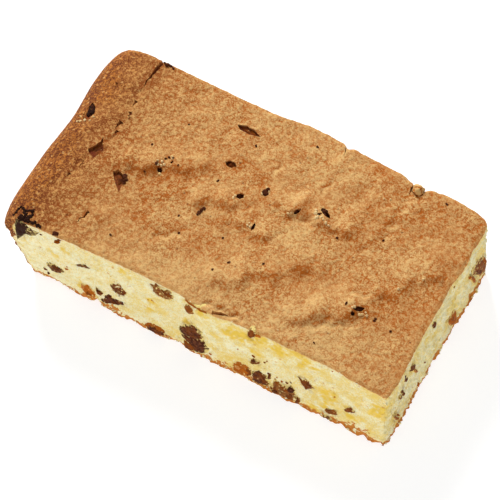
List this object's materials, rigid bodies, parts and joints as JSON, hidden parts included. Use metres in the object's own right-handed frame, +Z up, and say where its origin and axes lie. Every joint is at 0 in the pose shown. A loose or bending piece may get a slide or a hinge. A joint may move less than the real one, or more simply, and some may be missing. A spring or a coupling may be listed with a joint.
{
  "type": "farmhouse fruit cake slab",
  "caption": "Rectangular slab of pale sultana sponge with a folded golden-brown crust, one rounded tin end, cut sides and raisins in the crumb.",
  "frame": {"origin": "centre of the slab's bounding box on its base", "axes": "+X along the slab from the rounded tin end to the cut end, +Y across it from the front cut side to the back one, +Z up"},
  "size_m": [0.1989, 0.1092, 0.0475],
  "materials": {
    "sponge": "baked crumb, browned crust on top",
    "raisin": "wrinkled, slightly sticky dried fruit"
  },
  "bodies": {
    "root": {"raisin_back_01": "raisin", "raisin_back_02": "raisin", "raisin_back_03": "raisin", "raisin_back_04": "raisin", "raisin_back_05": "raisin", "raisin_back_06": "raisin", "raisin_back_07": "raisin", "raisin_back_08": "raisin", "raisin_back_09": "raisin", "raisin_back_10": "raisin", "raisin_back_11": "raisin", "raisin_back_12": "raisin", "raisin_end_01": "raisin", "raisin_end_02": "raisin", "raisin_end_03": "raisin", "raisin_end_04": "raisin", "raisin_end_05": "raisin", "raisin_end_06": "raisin", "raisin_end_07": "raisin", "raisin_front_01": "raisin", "raisin_front_02": "raisin", "raisin_front_03": "raisin", "raisin_front_04": "raisin", "raisin_front_05": "raisin", "raisin_front_06": "raisin", "raisin_front_07": "raisin", "raisin_front_08": "raisin", "raisin_front_09": "raisin", "raisin_front_10": "raisin", "raisin_front_11": "raisin", "raisin_front_12": "raisin", "raisin_front_13": "raisin", "raisin_front_14": "raisin", "raisin_front_15": "raisin", "raisin_front_16": "raisin", "raisin_front_17": "raisin", "raisin_front_18": "raisin", "raisin_top_01": "raisin", "raisin_top_02": "raisin", "raisin_top_03": "raisin", "raisin_top_04": "raisin", "raisin_top_05": "raisin", "raisin_top_06": "raisin", "raisin_top_07": "raisin", "raisin_top_08": "raisin", "raisin_top_09": "raisin", "raisin_top_10": "raisin", "raisin_top_11": "raisin", "raisin_top_12": "raisin", "sponge": "sponge"}
  },
  "joints": []
}
